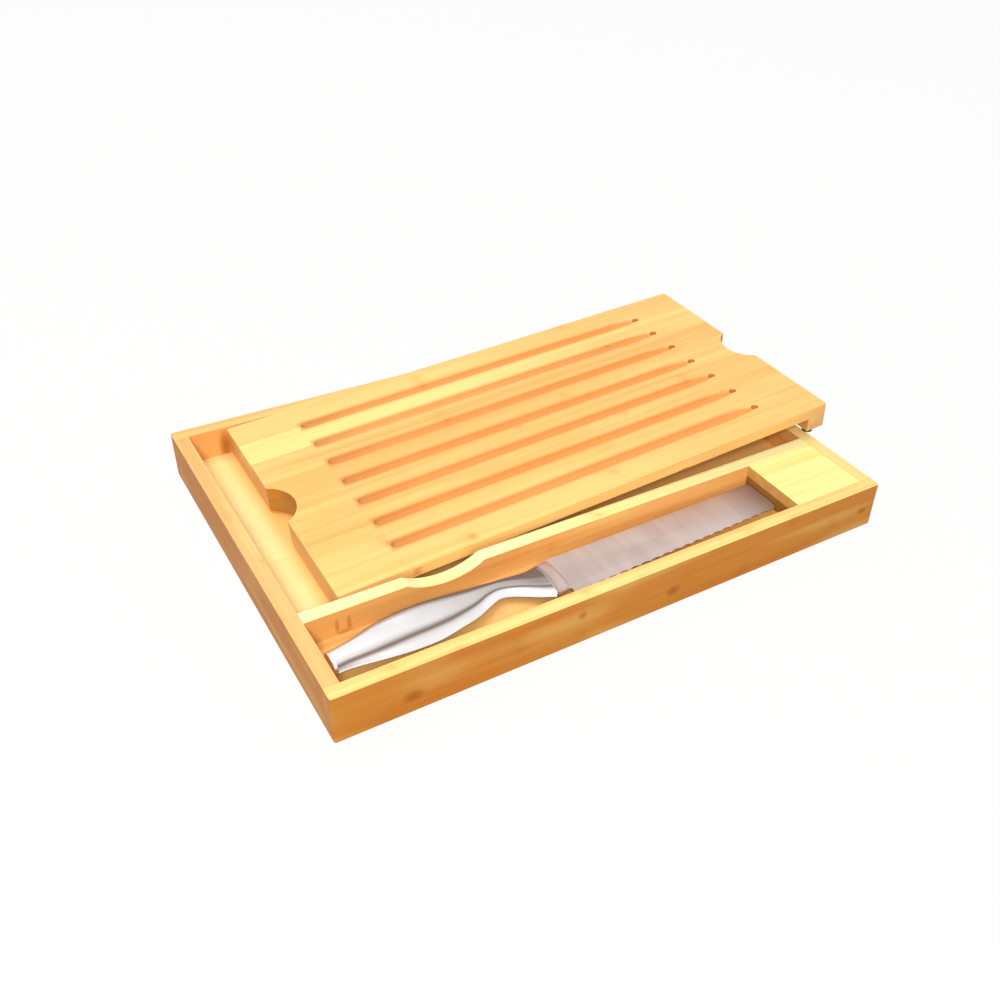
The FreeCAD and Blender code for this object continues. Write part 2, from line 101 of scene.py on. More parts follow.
# ---------------------------------------------------------------- colours of the wood, linear
FRONT_TOP = (0.96, 0.74, 0.28)
SIDE_TOP = (0.96, 0.58, 0.20)
LEFT_TOP = (0.94, 0.53, 0.20)
# The divider's and the end block's tops are paler than the others: a painted highlight of their varnish.
DIVIDER_TOP = (0.97, 0.94, 0.50)
BLOCK_TOP = (0.96, 0.93, 0.36)
# Painted shade: the upright faces that look away from the tray's middle are darker than the inner ones.
OUTER_SIDE_SHADE = (0.64, 0.255, 0.030)
INNER_SIDE = (0.93, 0.50, 0.16)
FLOOR_TOP = (0.97, 0.82, 0.38)
# Painted shade and reflected warm light on the tray's floor, away from the middle of the crumb bay.
FLOOR_SHADE_WARM = (0.95, 0.50, 0.13)
BOARD_TOP = (0.96, 0.56, 0.175)
BOARD_SIDE = (0.93, 0.54, 0.19)
BATTEN_SIDE = (0.72, 0.43, 0.18)
# The crumb grooves' colour: partly the bare wood's stain, partly painted shade.
GROOVE_STAIN_AND_SHADE = (0.76, 0.27, 0.060)
PALE_STREAK = (0.97, 0.86, 0.32)
WARM_STREAK = (0.93, 0.42, 0.10)
CANE_NODE = (0.42, 0.15, 0.03)
# Brown knot marks, and the painted shade by the rear rail's left corner.
KNOT_AND_SHADE = (0.40, 0.115, 0.006)
DOWEL_WOOD = (0.62, 0.42, 0.22)
DOWEL_STREAK = (0.50, 0.31, 0.15)
# Tints, which the wood's colour is multiplied by: strips of a darker tone, the wood around a cane's node, the
# faces cut across the grain (above 1 they are paler), and painted shade on the walls of the finger notches
# and on other wood.
STRIP_TONE = (0.98, 0.88, 0.76)
NODE_SHADE = (0.90, 0.72, 0.50)
STRIP_END = (0.80, 0.79, 0.92)
BATTEN_END = (1.20, 1.22, 1.25)
BLOCK_END = (0.68, 0.78, 0.72)
NOTCH_SHADE = (0.60, 0.52, 0.24)
DUSK = (0.46, 0.36, 0.22)

# ---------------------------------------------------------------- how the strips lie
LEVEL = (0.0, 0.0, 0.0)
EASED_EDGE = 0.00035
STRIP_THICKNESS = 0.0053
STRIPS = {
    "front_rail": Strips("X", "Z", 0.0175, 0.13, 3),
    "rear_rail": Strips("X", "Z", 0.0175, 0.23, 11),
    "left_rail": Strips("Y", "Z", 0.0175, 0.19, 5),
    "right_rail": Strips("Y", "Z", 0.0175, 0.19, 6),
    "divider": Strips("X", "Z", 0.021, 0.24, 8),
    "end_block": Strips("X", "Y", 0.027, 0.90, 14),
    "tray_floor": Strips("X", "Y", 0.024, 0.26, 21),
    "knife_bay_floor": Strips("X", "Y", 0.024, 0.26, 22),
    "board_strip": Strips("X", "Y", 0.0265, 0.45, 30),
    "board_batten": Strips("Y", "X", 0.017, 0.20, 51),
}
# A step of the seed moves the pattern this far across the strips, through their layers and along the grain.
SEED_ACROSS = 0.37
SEED_DEEP = 0.013
SEED_ALONG = 1.7

# ---------------------------------------------------------------- grain
PATCHES = Grain((9, 62, 62), 1, starts=0.48, full=0.78, strength=0.275)
BANDS = Grain((3.5, 150, 150), 2, starts=0.55, full=0.30, strength=0.65, tint=(0.98, 0.78, 0.58))
STREAKS = Grain((9, 620, 620), 3, 0.6, starts=0.45, full=0.75, strength=0.45, tint=(0.94, 0.82, 0.68))
FIBRES = Grain((28, 2100, 2100), 1, starts=0.5, full=0.8, strength=0.22, tint=(0.90, 0.80, 0.64))
# Broad bands stay this strong where there is no fine grain.
BANDS_LEAST = 0.10
# Each strip has a tone between 0 and 1, and its tint comes in above this one, up to this strength.
TONE_FROM = 0.3
TONE_STRENGTH = 0.5
# The relief of the grain, in metres, and the shares of it that its streaks and fibres have.
GRAIN_HEIGHT = 0.00010
STREAK_HEIGHT = 0.5
FIBRE_HEIGHT = 0.35

# ---------------------------------------------------------------- cane nodes, knot marks and painted shade
# A cane's node is a soft brown patch part of the way across a strip, with a shade across all of it. They
# reach this far along the grain either way, and are full within the core.
NODE_REACH = 0.0045
NODE_SHADE_REACH = 0.012
NODE_CORE = 0.0005
NODE_STRENGTH = 0.60
NODE_SHADE_STRENGTH = 0.26
NODE_WOBBLE = 0.010
NODE_WOBBLES = Grain((0, 90, 90), 2)
NODE_PARTS = Grain((30, 110, 110), 1, starts=0.38, full=0.60)
# How strong the nodes are on upright and on flat faces, first as a rule and then on some pieces.
UPRIGHT_NODES = 0.75
FLAT_NODES = 0.25
FRONT_UPRIGHT_NODES = 0.15
DIVIDER_UPRIGHT_NODES = 0.25
FLOOR_FLAT_NODES = 0.10
# How strong the fine grain of the tray's floor is beside the other pieces'.
FLOOR_FINE_GRAIN = 0.12
# Single marks, knot marks and one painted shade: place and reach along and across the grain, and how strong.
FRONT_KNOTS = (
    (-0.1606, 0.0125, 0.0078, 0.0052, 1.0),
    (0.0266, 0.0124, 0.0068, 0.0050, 1.0),
    (-0.0449, 0.0226, 0.0038, 0.0034, 0.8),
    (0.1980, 0.0155, 0.0055, 0.0030, 1.0),
)
# Painted shade on the rear rail's inner face, beside the board's back left corner.
REAR_CORNER_SHADE = ((-0.1745, 0.0190, 0.0055, 0.0150, 1.0),)
DIVIDER_KNOTS = (
    (-0.1800, 0.0235, 0.0018, 0.0075, 0.6),
    (-0.1722, 0.0235, 0.0018, 0.0075, 0.6),
    (-0.1762, 0.0175, 0.0045, 0.0025, 0.5),
)
BOARD_KNOTS = ((-0.0748, 0.0783, 0.0040, 0.0045, 0.45),)
KNOT_AND_SHADE_STRENGTH = 0.85
# Painted light and shade: the floor is pale up to the first distance from the middle of the open crumb bay,
# and warm and darker, in painted shade and reflected light, from the second.
PALE_UP_TO = 0.004
WARM_FROM = 0.016
FLOOR_SHADE_STRENGTH = 0.80
# Painted shade: where the floor darkens towards the front rail (Y), in the rail's shadow, and the block's
# face towards its foot (Z), by the blade's tip.
BAY_FLOOR_DUSK = ("Y", 0.024, 0.012)
BLOCK_DUSK = ("Z", 0.0272, 0.0260)

# ---------------------------------------------------------------- which way a face looks
# An upright face has an upward part of its normal below the second value, a flat one above the first.
FLAT_FROM, UPRIGHT_FROM = 0.85, 0.35
# A face looks to the back where its normal's part that way is above the first value.
BACK_FROM, AHEAD_FROM = 0.6, 0.4
# It is cut across the grain where the part along the grain is above the second value.
END_STARTS, END_FULL = 0.7, 0.95
# How far it looks away from the tray's middle is its place from there times its normal, in metres.
OUTWARD_BLEND = 0.01

# ---------------------------------------------------------------- varnish, dowels and feet
# How much coat there is on flat and on upright faces, and how rough that coat is.
FLAT_VARNISH = 0.22
UPRIGHT_VARNISH = 0.06
VARNISH_ROUGHNESS = 0.22
WOOD_SPECULAR = 0.3
WOOD_ROUGHNESS = (0.38, 0.50)
DOWEL_ROUGHNESS = 0.7
DOWEL_GRAIN = Grain((300, 300, 300), 3, starts=0.3, full=0.7)
FOOT_RUBBER = (0.02, 0.018, 0.015)
RUBBER_ROUGHNESS = 0.75

# ---------------------------------------------------------------- slicing board, metres
BOARD_YAW = math.radians(0.25)
MIDDLE_STRIPS = (4, 5)
# How pale (or, below 0, how warm) each strip of the board is, front to back.
STAVE_PALENESS = (0.15, 0.18, -0.18, -0.08, -0.40, 0.04, 0.66, 0.28)
# It is weakest to the right of the first place along the board, and full to the left of the second.
PALENESS_WEAK_AT = 0.14
PALENESS_FULL_AT = -0.02
PALENESS_LEAST = 0.35
# The centre of a finger notch lies outside the board's end, and painted shade darkens its wall up to just
# past its radius.
NOTCH_RADIUS = 0.024
NOTCH_OUTSIDE = 0.0115
NOTCH_WALL_FROM = NOTCH_RADIUS + 0.0009
NOTCH_WALL_FULL = NOTCH_RADIUS + 0.0004
# Places from the board's left and right end.
GROOVE_START = 0.0475
DRAIN_HOLE_FROM_END = 0.0493
GROOVE_HALF_WIDTH = 0.0042
GROOVE_EDGE = 1.2 * GROOVE_HALF_WIDTH
# Deeper than this below the board's top there is no groove left, only drain holes.
GROOVE_DEEPEST = 0.0040
# Depths below the board's top at which a groove's staining and painted shade begin and are full.
GROOVE_SHADE_FROM = 0.0003
GROOVE_SHADE_FULL = 0.0012
# The staining and painted shade inside a groove stop between these two distances beyond its ends.
GROOVE_STAIN_SHADE_PAST = 0.006
GROOVE_STAIN_SHADE_FULL = 0.005
# The grain beside a groove has painted shade this far from its middle, and the shade fades at both ends.
GROOVE_SIDE_SHADE_REACH = 0.0072
GROOVE_SIDE_SHADE = 0.70
GROOVE_FADE_LEFT = 0.003
GROOVE_FADE_RIGHT = 0.03
# Painted shade makes a groove's left end darker, over this length, and this much of the wood's own pattern
# shows in a groove.
GROOVE_END_SHADE_LENGTH = 0.05
GROOVE_END_SHADE = 0.78
GROOVE_PATTERN = 0.22

# ---------------------------------------------------------------- steel
STEEL_BLADE = (0.62, 0.52, 0.49)
# Painted dark reflection of the end block's face, near the blade's tip.
STEEL_TIP_REFLECTION = (0.40, 0.31, 0.275)
STEEL_HANDLE = (0.97, 0.94, 0.94)
# Painted shade and dark reflections on the handle, in its crease and along its spine, underside and neck.
STEEL_PAINTED_SHADE = (0.15, 0.108, 0.092)
# Fine grinding marks and broad bands, each darker than the steel by a share of its colour.
BLADE_GRINDING = Grain((3200, 26, 26), 2, strength=0.25)
BLADE_BANDS = Grain((75, 14, 14), 2, starts=0.35, full=0.65)
GRINDING_SHADE = 0.75
BLADE_BAND_SHADE = 0.86
BLADE_METALLIC = 0.7
BLADE_ROUGHNESS = (0.44, 0.52)
BLADE_ANISOTROPY = 0.4
GRINDING_HEIGHT = 0.000010
# Painted dark reflection darkens the blade between these two distances from its tip.
TIP_SHADE_STARTS = 0.035
TIP_SHADE_FULL = 0.008
HANDLE_SMEARS = Grain((60, 90, 90), 3, starts=0.35, full=0.65)
HANDLE_HAIRS = Grain((60, 2600, 2600), 1)
SMEAR_SHADE = 0.92
HANDLE_ROUGHNESS = (0.16, 0.24)
HAIR_HEIGHT = 0.000004
# Where the handle is marked with painted shade it is also rougher by this much, and between these values of
# the mark it turns from metal to a matt non-metal.
CREASE_ROUGHNESS = 0.3
CREASE_MATT_FROM, CREASE_MATT_FULL = 0.1, 0.8
CREASE_METALLIC = 0.10
# Every roughness runs from its lower to its upper value between these values of its noise.
SMOOTHEST_AT, ROUGHEST_AT = 0.3, 0.7

# ---------------------------------------------------------------- knife sizes, metres and radians
KNIFE_YAW = math.radians(1.5)
HANDLE_LENGTH = 0.1465
CAP_LENGTH = 0.002
RIM_PLACE = 0.148
RIM_HALF_THICKNESS = 0.0064
BELLY_PLACE = 0.0659
BELLY_HALF_THICKNESS = 0.0075
KNIFE_SLOPE = math.atan((BELLY_HALF_THICKNESS - RIM_HALF_THICKNESS) / (RIM_PLACE - BELLY_PLACE))
BUTT_OFFSET = -0.0008
MM_PER_METRE = 1000
# Along the handle (share of its length): section centre towards the spine, half width, half thickness,
# all in millimetres, then where the crease lies (share of the half width) and how deep it is.
HANDLE_SECTIONS = (
    (0.0, -0.8, 8.2, 5.5, -0.86, 0.5),
    (0.068, 0.0, 8.8, 6.3, -0.82, 0.8),
    (0.136, 0.6, 10.6, 6.9, -0.78, 1.0),
    (0.232, 1.6, 13.9, 7.4, -0.70, 1.1),
    (0.341, 2.0, 16.2, 7.5, -0.61, 1.2),
    (0.45, 2.3, 16.5, 7.5, -0.59, 1.2),
    (0.546, 3.1, 14.6, 7.2, -0.61, 1.2),
    (0.656, 4.1, 11.7, 6.7, -0.56, 1.1),
    (0.731, 5.9, 8.6, 6.1, -0.48, 1.0),
    (0.785, 6.5, 6.5, 5.7, -0.52, 0.9),
    (0.84, 5.3, 7.4, 5.5, -0.54, 0.8),
    (0.908, 1.6, 10.3, 5.6, -0.52, 0.7),
    (0.954, -0.6, 12.4, 5.6, -0.58, 0.6),
    (1.0, -1.9, 14.8, 5.8, -0.62, 0.5),
)
# How wide the crease is, as a share of the half width.
CREASE_HALF_WIDTH = 0.17
# Painted shade and dark reflections where the surface faces the spine: from this much at the butt, wider
# towards the neck, and painted shade where it faces down.
SPINE_SHADE_FROM = 0.45
SPINE_SHADE_WIDENS = 0.75
SPINE_SHADE_FADE = 0.28
UNDER_SHADE_FROM = 0.42
UNDER_SHADE_FADE = 0.25
# The rolled edge still catches the light from above where it no longer faces up.
BEAD_FROM = 0.70
BEAD_FADE = 0.70
BEAD_LIFT = 1.6
# Painted shade and dark reflections make the broad face behind the crease greyer from here (share of the
# length) on to the bolster.
FACE_SHADE_FROM = 0.30
FACE_SHADE_FULL = 0.95
FACE_SHADE = 0.85
FACE_SHADE_FADE = 0.15
# Points of the end cap that are this near to its very end belong to its flat butt.
SAME_PLACE = 0.00002
HANDLE_RINGS = 120
HALF_RING_POINTS = 48

# ---------------------------------------------------------------- easing of the wood's edges
WELD_DISTANCE = 0.000002
FLAT_ANGLE = math.radians(0.4)
EDGE_ANGLE = math.radians(40)
EASE_SEGMENTS = 3


# ---------------------------------------------------------------- places that the frame gives
def lean(low_node, high_node):
    """How far a body slopes along X, from the boxes of a piece at each of its ends."""
    low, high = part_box(low_node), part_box(high_node)
    rise = (Vector(high[0]) + Vector(high[1])) / 2 - (Vector(low[0]) + Vector(low[1])) / 2
    return math.atan2(rise.z, rise.x)


BOARD_TURN = (0.0, lean("left_batten", "right_batten"), BOARD_YAW)


def on_level_board(node):
    """The lowest and highest corners of a piece of the board, with the board turned level and square."""
    level = Euler(BOARD_TURN).to_matrix()
    points = [level @ v.co for v in NODES[node].data.vertices]
    return [[pick(p[axis] for p in points) for axis in range(3)] for pick in (min, max)]


FRONT_STRIP_LOW, FRONT_STRIP_HIGH = on_level_board("board_stave_1")
BOARD_TOP_LEVEL = FRONT_STRIP_HIGH[2]
BOARD_LEFT_END, BOARD_RIGHT_END = FRONT_STRIP_LOW[0], FRONT_STRIP_HIGH[0]
BOARD_MIDDLE = on_level_board("board_stave_4")[1][1]
# The middles of the finger notches, along and across the board.
NOTCHES = ((BOARD_LEFT_END - NOTCH_OUTSIDE, BOARD_MIDDLE), (BOARD_RIGHT_END + NOTCH_OUTSIDE, BOARD_MIDDLE))
GROOVE_LEFT_END = BOARD_LEFT_END + GROOVE_START
GROOVE_RIGHT_END = BOARD_RIGHT_END - DRAIN_HOLE_FROM_END
CRUMB_BAY_MIDDLE = (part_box("left_rail")[1][0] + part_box("left_batten")[0][0]) / 2
TRAY_MIDDLE_Y = (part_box("front_rail")[0][1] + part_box("rear_rail")[1][1]) / 2
BLADE_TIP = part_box("knife_blade")[1][0]


# ---------------------------------------------------------------- shader building
class Shader:
    """A material's node tree, with one short call for each kind of node."""

    def __init__(self, name):
        self.material = bpy.data.materials.new(name)
        self.material.use_nodes = True
        self.tree = self.material.node_tree
        self.tree.nodes.clear()
        self.output = self.add("ShaderNodeOutputMaterial")

    def add(self, kind, **settings):
        node = self.tree.nodes.new(kind)
        for key, value in settings.items():
            setattr(node, key, value)
        return node

    def link(self, value, socket):
        """Plug another node's output, or a plain number, into a socket."""
        if isinstance(value, bpy.types.NodeSocket):
            self.tree.links.new(value, socket)
        elif value is not None:
            socket.default_value = value

    def math(self, operation, *values):
        node = self.add("ShaderNodeMath", operation=operation)
        for value, socket in zip(values, node.inputs):
            self.link(value, socket)
        return node.outputs[0]

    def product(self, first, *others):
        for other in others:
            first = self.math("MULTIPLY", first, other)
        return first

    def vector_math(self, operation, *vectors):
        node = self.add("ShaderNodeVectorMath", operation=operation)
        for vector, socket in zip(vectors, node.inputs):
            self.link(vector, socket)
        return node.outputs[0]

    def turned(self, vector, turn):
        node = self.add("ShaderNodeMapping")
        node.inputs["Rotation"].default_value = turn
        self.link(vector, node.inputs["Vector"])
        return node.outputs[0]

    def split(self, vector):
        """The parts of a vector, by axis."""
        node = self.add("ShaderNodeSeparateXYZ")
        self.link(vector, node.inputs[0])
        return dict(zip("XYZ", node.outputs))

    def join(self, x, y, z):
        node = self.add("ShaderNodeCombineXYZ")
        for value, socket in zip((x, y, z), node.inputs):
            self.link(value, socket)
        return node.outputs[0]

    def noise(self, vector, grain):
        node = self.add("ShaderNodeTexNoise")
        self.link(self.vector_math("MULTIPLY", vector, grain.waves), node.inputs["Vector"])
        node.inputs["Scale"].default_value = 1.0
        node.inputs["Detail"].default_value = grain.detail
        node.inputs["Roughness"].default_value = grain.roughness
        return node.outputs["Fac"]

    def random(self, vector):
        """Three random numbers that belong to a vector, by axis."""
        node = self.add("ShaderNodeTexWhiteNoise", noise_dimensions="3D")
        self.link(vector, node.inputs["Vector"])
        return self.split(node.outputs["Color"])

    def ramp(self, value, low, high, to_low=0.0, to_high=1.0, smooth=True):
        """Map low..high onto to_low..to_high, clamped."""
        node = self.add("ShaderNodeMapRange", interpolation_type="SMOOTHSTEP" if smooth else "LINEAR")
        for key, given in (("Value", value), ("From Min", low), ("From Max", high),
                           ("To Min", to_low), ("To Max", to_high)):
            self.link(given, node.inputs[key])
        return node.outputs[0]

    def shown(self, noise, grain, strength=None):
        """How much a noise shows at each place."""
        if strength is None:
            strength = grain.strength
        return self.ramp(noise, grain.starts, grain.full, 0.0, strength)

    def mix(self, factor, a, b, blend="MIX"):
        """Mix two colours, given as (r, g, b) or as sockets."""
        node = self.add("ShaderNodeMix", data_type="RGBA", blend_type=blend)
        self.link(factor, node.inputs[0])
        # The node's colours A and B are its inputs 6 and 7, and its colour output is 2.
        for value, socket in ((a, node.inputs[6]), (b, node.inputs[7])):
            self.link(value if isinstance(value, bpy.types.NodeSocket) else (*value, 1.0), socket)
        return node.outputs[2]

    def bump(self, height, distance, normal=None):
        node = self.add("ShaderNodeBump")
        node.inputs["Distance"].default_value = distance
        self.link(normal, node.inputs["Normal"])
        self.link(height, node.inputs["Height"])
        return node.outputs[0]

    def surface(self, **inputs):
        """The principled shader, by input name with underscores for spaces."""
        node = self.add("ShaderNodeBsdfPrincipled")
        for key, value in inputs.items():
            self.link(value, node.inputs[key.replace("_", " ")])
        self.link(node.outputs[0], self.output.inputs[0])


class Bamboo(Shader):
    """Strip-laminated bamboo. What one piece alone has is laid over the grain, in the order of the calls."""

    def __init__(self, name, strips, top, side, outer=None, turn=LEVEL, paleness=0.0,
                 fine=1.0, upright_nodes=UPRIGHT_NODES, flat_nodes=FLAT_NODES):
        """turn lines the strips up with the piece, and fine says how strong the finest grain is.

        outer is the colour, a painted shade, of the upright faces that look away from the tray's middle,
        paleness says how pale or, below 0, how warm the strip is, and the last two say how strong the cane's
        nodes are.
        """
        super().__init__(name)
        self.strips = strips
        self.fine = fine
        coords = self.add("ShaderNodeTexCoord")
        self.place = self.split(coords.outputs["Object"])
        self.facing = self.split(coords.outputs["Normal"])
        axes = self.split(self.turned(coords.outputs["Object"], turn))
        third = ({"X", "Y", "Z"} - {strips.grain, strips.across}).pop()
        self.along, self.wide, self.deep = axes[strips.grain], axes[strips.across], axes[third]
        moved = self.math("ADD", self.along, strips.seed * SEED_ALONG)
        self.grain_place = self.join(moved, self.wide, self.deep)
        self.upright = self.ramp(self.math("ABSOLUTE", self.facing["Z"]), FLAT_FROM, UPRIGHT_FROM)
        self.bands, self.streaks, self.fibres = [
            self.noise(self.grain_place, grain) for grain in (BANDS, STREAKS, FIBRES)]
        # Flat faces take the top colour and upright ones the warmer side colour: painted light on the tops
        # and painted shade on the sides.
        self.colour = self.mix(self.upright, top, side)
        if outer:
            # Painted shade on the upright faces that look outward.
            self.turn_colour(self.product(self.upright, self.looks_outward()), outer)
        tone, shift = self.random_of_strip()
        self.lay_grain(tone, paleness)
        self.lay_cane_nodes(shift, upright_nodes, flat_nodes)
        self.varnish = self.ramp(self.upright, 0.0, 1.0, FLAT_VARNISH, UPRIGHT_VARNISH, smooth=False)

    def turn_colour(self, amount, colour):
        """Turn the wood towards a colour."""
        self.colour = self.mix(amount, self.colour, colour)

    def tint(self, amount, tint):
        """Multiply the wood's colour by a tint."""
        self.colour = self.mix(amount, self.colour, tint, "MULTIPLY")

    def looks_outward(self):
        """1 on the faces that look away from the tray's middle."""
        from_middle = self.math("SUBTRACT", self.place["Y"], TRAY_MIDDLE_Y)
        outward = self.math("ADD", self.product(self.place["X"], self.facing["X"]),
                            self.product(from_middle, self.facing["Y"]))
        return self.ramp(outward, -OUTWARD_BLEND, OUTWARD_BLEND)

    def random_of_strip(self):
        """Two random numbers that each strip has for itself: its tone, and where its nodes start."""
        moved = self.math("ADD", self.wide, self.strips.seed * SEED_ACROSS)
        row = self.math("FLOOR", self.math("DIVIDE", moved, self.strips.width))
        moved = self.math("ADD", self.deep, self.strips.seed * SEED_DEEP)
        layer = self.math("FLOOR", self.math("DIVIDE", moved, STRIP_THICKNESS))
        chance = self.random(self.join(row, layer, self.strips.seed))
        return chance["X"], chance["Y"]

    def lay_grain(self, tone, paleness):
        """Patches, bands and fine grain, between them the strip's own tone."""
        self.turn_colour(self.shown(self.noise(self.grain_place, PATCHES), PATCHES), PALE_STREAK)
        self.tint(self.shown(self.bands, BANDS, BANDS_LEAST + BANDS.strength * self.fine), BANDS.tint)
        self.tint(self.ramp(tone, TONE_FROM, 1.0, 0.0, TONE_STRENGTH, smooth=False), STRIP_TONE)
        if paleness:
            soft = self.ramp(self.along, PALENESS_WEAK_AT, PALENESS_FULL_AT, PALENESS_LEAST, 1.0)
            self.turn_colour(self.product(soft, abs(paleness)), PALE_STREAK if paleness > 0 else WARM_STREAK)
        for noise, grain in ((self.streaks, STREAKS), (self.fibres, FIBRES)):
            self.tint(self.shown(noise, grain, grain.strength * self.fine), grain.tint)

    def lay_cane_nodes(self, shift, on_upright, on_flat):
        """The nodes of the cane, at even distances that start at another place on each strip."""
        gap = self.strips.node_gap
        wobble = self.math("SUBTRACT", self.noise(self.grain_place, NODE_WOBBLES), 0.5)
        moved = self.math("ADD", self.along, self.product(wobble, NODE_WOBBLE))
        moved = self.math("ADD", moved, self.product(shift, gap))
        share = self.math("SUBTRACT", self.math("FRACT", self.math("DIVIDE", moved, gap)), 0.5)
        distance = self.math("ABSOLUTE", self.product(share, gap))
        self.tint(self.ramp(distance, NODE_SHADE_REACH, NODE_CORE, 0.0, NODE_SHADE_STRENGTH), NODE_SHADE)
        strength = self.ramp(self.upright, 0.0, 1.0, NODE_STRENGTH * on_flat, NODE_STRENGTH * on_upright,
                             smooth=False)
        part = self.shown(self.noise(self.grain_place, NODE_PARTS), NODE_PARTS)
        self.turn_colour(self.product(self.ramp(distance, NODE_REACH, NODE_CORE), part, strength), CANE_NODE)

    def distance_squared(self, along, wide, unit_along=1.0, unit_wide=1.0):
        """The square of how far the surface is from a place on the wood."""
        squares = []
        for value, middle, length in ((self.along, along, unit_along), (self.wide, wide, unit_wide)):
            distance = self.math("DIVIDE", self.math("SUBTRACT", value, middle), length)
            squares.append(self.product(distance, distance))
        return self.math("ADD", *squares)

    def knots_and_shade(self, rows):
        """Single brown marks, each a knot or a patch of painted shade, kept off the faces that look to the
        back.
        """
        ahead = self.ramp(self.facing["Y"], BACK_FROM, AHEAD_FROM)
        for *place_and_reach, strength in rows:
            off = self.distance_squared(*place_and_reach)
            mark = self.ramp(off, 1.0, 0.0, 0.0, KNOT_AND_SHADE_STRENGTH * strength, smooth=False)
            self.turn_colour(self.product(ahead, mark), KNOT_AND_SHADE)

    def shade_floor(self):
        """Painted light and shade on the floor: pale along the open crumb bay, warm and darker towards the
        left rail and under the board.
        """
        away = self.math("ABSOLUTE", self.math("SUBTRACT", self.place["X"], CRUMB_BAY_MIDDLE))
        self.turn_colour(self.ramp(away, PALE_UP_TO, WARM_FROM, 0.0, FLOOR_SHADE_STRENGTH), FLOOR_SHADE_WARM)

    def dusk(self, axis, light, dark):
        """Shade that starts at one place on an axis and is full at the other."""
        self.tint(self.ramp(self.place[axis], light, dark), DUSK)

    def notch_walls(self, middles):
        """Painted shade on the cut walls of the finger notches, whose middles are given along and across the
        grain.
        """
        for along, wide in middles:
            off = self.math("SQRT", self.distance_squared(along, wide))
            wall = self.ramp(off, NOTCH_WALL_FROM, NOTCH_WALL_FULL)
            self.tint(self.product(self.upright, wall), NOTCH_SHADE)

    def end_grain(self, tint):
        """Tint the faces that are cut across the grain."""
        ends = self.ramp(self.math("ABSOLUTE", self.facing[self.strips.grain]), END_STARTS, END_FULL)
        self.tint(ends, tint)

    def grooves(self, lines):
        """Crumb grooves along the given lines: bare stained wood with painted shade inside, darker at the
        left end, and painted shade on the grain beside them.
        """
        along, left, right = self.along, GROOVE_LEFT_END, GROOVE_RIGHT_END
        depth = self.math("SUBTRACT", BOARD_TOP_LEVEL, self.deep)
        cut = self.product(self.ramp(depth, GROOVE_SHADE_FROM, GROOVE_SHADE_FULL),
                           self.ramp(depth, GROOVE_DEEPEST, GROOVE_DEEPEST - GROOVE_SHADE_FROM),
                           self.ramp(along, left - GROOVE_STAIN_SHADE_PAST, left - GROOVE_STAIN_SHADE_FULL),
                           self.ramp(along, right + GROOVE_STAIN_SHADE_PAST, right + GROOVE_STAIN_SHADE_FULL))
        top = self.product(self.ramp(depth, GROOVE_SHADE_FULL, GROOVE_SHADE_FROM),
                           self.ramp(along, left - GROOVE_FADE_LEFT, left),
                           self.ramp(along, right, right - GROOVE_FADE_RIGHT))
        end_shade = self.ramp(along, left + GROOVE_END_SHADE_LENGTH, left, 1.0, GROOVE_END_SHADE, smooth=False)
        for line in lines:
            from_line = self.math("ABSOLUTE", self.math("SUBTRACT", self.wide, line))
            inside = self.product(cut, self.ramp(from_line, GROOVE_EDGE, GROOVE_HALF_WIDTH))
            beside = self.product(top, self.ramp(from_line, GROOVE_SIDE_SHADE_REACH, GROOVE_HALF_WIDTH,
                                                 0.0, GROOVE_SIDE_SHADE, smooth=False))
            stain_and_shade = self.mix(1.0, self.mix(GROOVE_PATTERN, GROOVE_STAIN_AND_SHADE, self.colour),
                            self.join(end_shade, end_shade, end_shade), "MULTIPLY")
            self.turn_colour(self.math("MAXIMUM", inside, beside), stain_and_shade)
            self.varnish = self.product(self.math("SUBTRACT", 1.0, inside), self.varnish)

    def finish(self):
        """Close the material with the varnish and the grain's relief."""
        height = self.math("ADD", self.product(self.streaks, STREAK_HEIGHT),
                           self.product(self.fibres, FIBRE_HEIGHT))
        self.surface(Base_Color=self.colour, Coat_Weight=self.varnish, Coat_Roughness=VARNISH_ROUGHNESS,
                     Roughness=self.ramp(self.bands, SMOOTHEST_AT, ROUGHEST_AT, *WOOD_ROUGHNESS),
                     Specular_IOR_Level=WOOD_SPECULAR, Normal=self.bump(height, GRAIN_HEIGHT * self.fine))
        return self.material


def darker(colour, share):
    """A colour at a share of its own lightness."""
    return tuple(share * value for value in colour)


def dowel_wood():
    s = Shader("dowel_wood")
    grain = s.noise(s.add("ShaderNodeTexCoord").outputs["Object"], DOWEL_GRAIN)
    colour = s.mix(s.shown(grain, DOWEL_GRAIN), DOWEL_WOOD, DOWEL_STREAK)
    s.surface(Base_Color=colour, Roughness=DOWEL_ROUGHNESS)
    return s.material


def foot_rubber():
    s = Shader("foot_rubber")
    s.surface(Base_Color=(*FOOT_RUBBER, 1.0), Roughness=RUBBER_ROUGHNESS)
    return s.material


